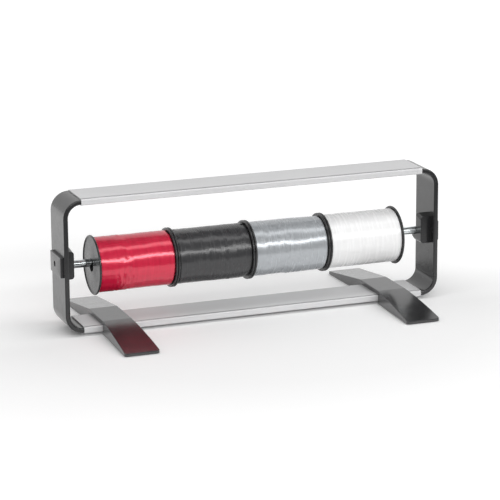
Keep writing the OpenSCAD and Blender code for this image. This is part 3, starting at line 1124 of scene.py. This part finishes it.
@dataclass
class WoundSpool:
    """One spool: two moulded halves, and the ribbon wound between their flanges."""

    ribbon: Ribbon
    bore: float = 8.5
    flange: float = 2.0
    dish: float = 0.9
    dish_run: float = 6.0
    rim: float = 1.3
    rim_back: float = 1.6
    rim_shy: float = 0.05
    root_shy: float = 0.35
    core: float = 11.0
    spigot: float = 8.0
    play: float = 0.06
    socket_spare: float = 0.2
    steps: int = 128
    winding_radius: float = 34.75
    winding_margin: float = 1.0
    band_width: float = 5.0
    band_thickness: float = 0.14
    band_rise: float = 0.1
    band_hollow: float = 0.4
    band_steps: int = 96
    turns: int = 38
    tilt: float = 0.20
    waver: float = 0.10
    ripple: float = 21.0
    wander: float = 0.5
    slack: float = 0.7
    waver_room: float = 1.5
    slack_room: float = 0.7
    seed: float = 0.0
    creases: tuple[Crease, ...] = ()
    waves: FilmWaves = FilmWaves()

    def build(self) -> None:
        """Builds both halves and the ribbon."""
        word = self.ribbon.word
        low, _ = solid_box(f"{word}_spool_left_half")
        _, high = solid_box(f"{word}_spool_right_half")
        axis = Vector(((low.x + high.x) / 2, (low.y + high.y) / 2, (low.z + high.z) / 2))
        half = (high.x - low.x) / 2
        for side in Side:
            self._half(side, axis, half, (high.z - low.z) / 2)
        self._winding(axis, half)

    def _half(self, side: Side, axis: Vector, half: float, radius: float) -> None:
        """Turns one half with its flange and core tube.

        Args:
            side: Which half.
            axis: Middle of the spool.
            half: Half of its length.
            radius: Radius of the flange.
        """
        word, way = self.ribbon.word, side.value
        face, inner, dished, bead = (
            (half - depth) * way for depth in (0.0, self.flange, self.dish, 2.0 * self.rim))
        bead_root = radius - 2.0 * self.rim
        dish_end = radius - self.rim_back * self.rim
        play, spare = (0.0, 0.0) if side is Side.LEFT else (self.play, self.socket_spare)
        joint_radius, joint_end = (self.core + self.bore) / 2 + play, self.spigot + spare
        profile = [
            (face, radius), (bead, radius), (bead, bead_root), (inner, bead_root), (inner, self.core),
            (play, self.core), (play, joint_radius), (joint_end, joint_radius), (joint_end, self.bore),
            (face, self.bore), (face, self.core), (dished, self.core + self.dish_run),
            (dished, dish_end - self.dish / 2), (face, dish_end)]
        piece = Workpiece(f"{word}_flange_{side.word}")
        rounding = (self.rim - self.rim_shy, 5)
        piece.turned([(axis.x + x, r) for x, r in profile], axis, self.steps,
                     {0: rounding, 1: rounding, 2: (self.rim - self.root_shy, 3)})
        piece.placed(f"{word}_spool", SPOOL_PLASTIC, "spool_plastic", f"{word}_spool_{side.word}_half",
                     sharp=30.0)

    def _winding(self, axis: Vector, half: float) -> None:
        """Winds the ribbon: a plain inner pack, and an outer layer whose turns lap over each other.

        Args:
            axis: Middle of the spool.
            half: Half of its length.
        """
        word = self.ribbon.word
        length = 2.0 * (half - self.flange - self.winding_margin)
        start, end = axis.x - length / 2, axis.x + length / 2
        piece = Workpiece(f"{word}_ribbon_winding")
        self._band(piece, axis, length)
        bottom = self.core + self.play
        top = (self.winding_radius - self.tilt - self.waver_room * self.waver - self.slack_room * self.slack
               - self.band_thickness)
        piece.turned([(start, bottom), (end, bottom), (end, top), (start, top)], axis, self.steps)
        piece.placed(f"{word}_spool", self.ribbon.value, f"{word}_ribbon",
                     f"{word}_ribbon_pack", f"{word}_ribbon_turns", sharp=60.0)

    def _band(self, piece: Workpiece, axis: Vector, length: float) -> None:
        """Winds the band from one flange to the other, then lets it waver as wound film does.

        Args:
            piece: The winding.
            axis: Middle of the spool.
            length: Length of the winding.
        """
        start = axis.x - length / 2
        top = axis.z + self.winding_radius + self.band_rise
        width, under = self.band_width, self.band_thickness
        pitch = (length - width) / self.turns
        section = piece.outline(
            [(start, top - self.tilt - under), (start + width, top - under), (start + width, top),
             (start + width / 2, top - self.tilt * self.band_hollow), (start, top - self.tilt)],
            Plane.FRONT, axis.y)
        corners = len(section.verts)
        bmesh.ops.spin(piece.mesh, geom=piece.opened(section), cent=axis, axis=(1.0, 0.0, 0.0),
                       dvec=(pitch / self.band_steps, 0.0, 0.0), angle=2.0 * math.pi, steps=self.band_steps)
        piece.mesh.verts.index_update()
        run = piece.mesh.verts.layers.float.new("turns_from_start")
        for vert in piece.mesh.verts:
            vert[run] = (vert.index // corners) / self.band_steps
        first_turn = piece.parts()
        for turn in range(1, self.turns):
            moved = verts_of(bmesh.ops.duplicate(piece.mesh, geom=first_turn)["geom"])
            bmesh.ops.translate(piece.mesh, vec=(pitch * turn, 0.0, 0.0), verts=moved)
            for vert in moved:
                vert[run] += turn
        piece.merge()
        piece.close_holes()
        for vert in piece.mesh.verts:
            self._waver(vert, axis, start + pitch * vert[run], vert[run], length)

    def _waver(self, vert: Vert, axis: Vector, left: float, turn: float, length: float) -> None:
        """Moves one vertex of the band as the film's slack would.

        Args:
            vert: The vertex.
            axis: Middle of the spool.
            left: Where the band's left edge lies at this place of its run.
            turn: Turns from the band's start.
            length: Length of the winding.
        """
        waves, seed = self.waves, self.seed
        run = turn * 2.0 * math.pi * self.winding_radius
        across = (vert.co.x - left) / self.band_width
        lift = self.waver * self._along_run(run / self.ripple)
        lift += self.waver * waves.twist * (across - 0.5) * self._along_run(
            run / waves.twist_length, waves.twist_field)
        spoke = Vector((0.0, vert.co.y - axis.y, vert.co.z - axis.z)).normalized()
        along = (vert.co.x - axis.x) / length
        layer = along * waves.layer_grain + seed
        for crease in self.creases:
            slant = along + crease.lean * math.sin(math.atan2(spoke.y, spoke.z) + seed)
            from_crease = (slant - crease.place) / crease.width
            layer += crease.shift / (1.0 + math.exp(-waves.shift_steepness * from_crease))
            fade = min(1.0, max(0.0, waves.low_below - spoke.z)) if crease.low else 1.0
            pucker = noise.noise(Vector((spoke.y * waves.crease_grain + waves.crease_field,
                                         spoke.z * waves.crease_grain, slant * crease.fine)))
            lift += crease.height * fade * math.exp(-from_crease ** 2) * pucker
        lift += self.slack * noise.noise(Vector((
            spoke.y * waves.slack_grain, spoke.z * waves.slack_grain, layer)))
        vert.co += spoke * lift
        if waves.still_ends < turn / self.turns < 1.0 - waves.still_ends:
            vert.co.x += self.wander * self._along_run(run / waves.wander_length, waves.wander_field)

    def _along_run(self, place: float, apart: Point = (0.0, 0.0)) -> float:
        """The spool's own noise at a place along the band's run, in one of its fields."""
        return noise.noise(Vector((place, self.seed + apart[0], apart[1])))


# The studio


@dataclass(frozen=True)
class SoftLamp:
    """A wide soft lamp that faces the spools. Places and sizes are in metres, power in watts."""

    name: str
    place: Triple
    size: Point
    power: float
    aim_height: float = 0.085

    def hang(self) -> None:
        """Hangs the lamp and turns it to the spools straight behind it."""
        data = bpy.data.lights.new(self.name, "AREA")
        data.shape = "RECTANGLE"
        data.size, data.size_y = self.size
        data.energy = self.power
        lamp = in_scene(self.name, data)
        lamp.location = self.place
        aim = Vector((self.place[0], 0.0, self.aim_height)) - Vector(self.place)
        lamp.rotation_mode = "QUATERNION"
        lamp.rotation_quaternion = aim.to_track_quat("-Z", "Y")


@dataclass
class Studio:
    """A pale floor, soft lamps and a camera where the photograph was taken from.

    The camera's angles are in degrees and its lengths in millimetres. Its clip and the floor's lengths are in
    metres.
    """

    azimuth: float = -20.42
    elevation: float = 14.732
    distance: float = 3196.35
    across: float = 1.407
    upward: float = 79.429
    roll: float = -0.391
    lens: float = 178.546
    sensor: float = 36.0
    clip: Point = (0.05, 60.0)
    table_edge: float = -0.36
    floor_reach: float = 6.0
    floor_drop: float = 0.0002
    sky_turn: float = 0.12
    sky_front: float = 0.18
    sky_fill: float = 0.50
    lamps: tuple[SoftLamp, ...] = (
        SoftLamp("front_strip", (0.60, -1.95, 1.10), (4.4, 0.36), 38.0),
        SoftLamp("top_strip", (0.30, -0.50, 1.95), (4.0, 0.60), 15.0))

    def build(self) -> None:
        """Builds camera, floor, sky and lamps."""
        self._camera()
        self._floor("floor_table", self.table_edge, self.floor_reach, True)
        self._floor("floor_apron", -self.floor_reach, self.table_edge, False)
        self._sky()
        for lamp in self.lamps:
            lamp.hang()

    def _camera(self) -> None:
        """Sets the camera up by its angles and its offset from the middle of the object."""
        turn, tilt, roll = (math.radians(v) for v in (self.azimuth, self.elevation, self.roll))
        back = Vector((math.sin(turn) * math.cos(tilt), -math.cos(turn) * math.cos(tilt), math.sin(tilt)))
        level = Vector((math.cos(turn), math.sin(turn), 0.0))
        upright = back.cross(level)
        right = level * math.cos(roll) + upright * math.sin(roll)
        up = upright * math.cos(roll) - level * math.sin(roll)
        data = bpy.data.cameras.new("photo_camera")
        data.sensor_width, data.lens = self.sensor, self.lens
        data.clip_start, data.clip_end = self.clip
        camera = in_scene("photo_camera", data)
        place = (back * self.distance + right * self.across + up * self.upward) * MM
        camera.matrix_world = Matrix.Translation(place) @ Matrix((right, up, back)).transposed().to_4x4()
        bpy.context.scene.camera = camera

    def _floor(self, name: str, near: float, far: float, mirrored: bool) -> None:
        """Lays a stretch of the pale floor.

        Args:
            name: Its name.
            near: Where it starts along Y, in metres.
            far: Where it ends.
            mirrored: Whether glossy pieces mirror it; past the table's edge the room is dark.
        """
        work = bmesh.new()
        middle = Matrix.Translation((0.0, (near + far) / 2, -self.floor_drop))
        bmesh.ops.create_grid(
            work, x_segments=1, y_segments=1, size=1.0,
            matrix=middle @ Matrix.Diagonal((self.floor_reach, (far - near) / 2, 1.0, 1.0)))
        floor = as_object(name, work, FLOOR_PAPER)
        floor.visible_glossy = mirrored

    def _sky(self) -> None:
        """Lights the room: white behind the object for camera and gloss, dark in front, and a soft fill."""
        world = bpy.data.worlds.new("studio_room")
        bpy.context.scene.world = world
        world.use_nodes = True
        world.node_tree.nodes.clear()
        bench = NodeBench(world.node_tree)
        path = bench.node("ShaderNodeLightPath").outputs
        through = bench.maths("MAXIMUM", path["Is Glossy Ray"], path["Is Transmission Ray"])
        room = bench.ranged(bench.split(bench.coordinates["Generated"], "Y"), self.sky_front, 1.0,
                            -self.sky_turn, self.sky_turn)
        fill = bench.node("ShaderNodeMix", {0: through, 2: self.sky_fill, 3: room}).outputs[0]
        seen = bench.node("ShaderNodeMix", {0: path["Is Camera Ray"], 2: fill, 3: 1.0}).outputs[0]
        sky = bench.node("ShaderNodeBackground", {"Color": (1.0, 1.0, 1.0, 1.0), "Strength": seen})
        bench.node("ShaderNodeOutputWorld", {"Surface": sky.outputs[0]})


def main() -> None:
    """Builds and dresses the dispenser, sub-assembly by sub-assembly."""
    logging.basicConfig(level=logging.INFO, format="%(relativeCreated)6.0f ms  %(message)s")
    bpy.context.scene.view_settings.view_transform = "Standard"
    Studio().build()
    for level in ("top", "bottom"):
        ExtrudedBar(level).build()
    for side, reach in ((Side.LEFT, 9.6), (Side.RIGHT, 13.7)):
        SideBracket(side).build()
        HolderBlock(side, reach).build()
        CoverPlate(side).build()
        Foot(side).build()
        dress_solid(f"{side.word}_holder_screw", BLACK_SCREW)
    for screws in ("bracket_screws", "foot_screws"):
        dress_solid(screws, ZINC)
    dress_solid("foot_pads", RUBBER)
    AxleRod().build()
    WoundSpool(Ribbon.RED, seed=1.0, waver=0.20, ripple=15.0, creases=(
        Crease(-0.16, 0.05, 0.8), Crease(-0.10, 0.03, 0.5),
        Crease(-0.22, 0.13, 1.6, lean=0.05, low=True, shift=0.0, fine=34.0))).build()
    WoundSpool(Ribbon.BLACK, seed=2.0, turns=17, band_width=6.0, waver=0.34, ripple=13.0, creases=(
        Crease(0.42, 0.05, 0.7), Crease(0.15, 0.02, 2.0, lean=0.08, low=True, shift=0.0, fine=40.0))).build()
    WoundSpool(Ribbon.SILVER, seed=3.0, turns=44, tilt=0.12, waver=0.10, ripple=15.0, creases=(
        Crease(-0.02, 0.04, 0.6), Crease(-0.30, 0.10, 0.5))).build()
    WoundSpool(Ribbon.WHITE, seed=4.0, slack=0.3, tilt=0.02, waver=0.04, band_thickness=0.05).build()


if __name__ == "__main__":
    main()
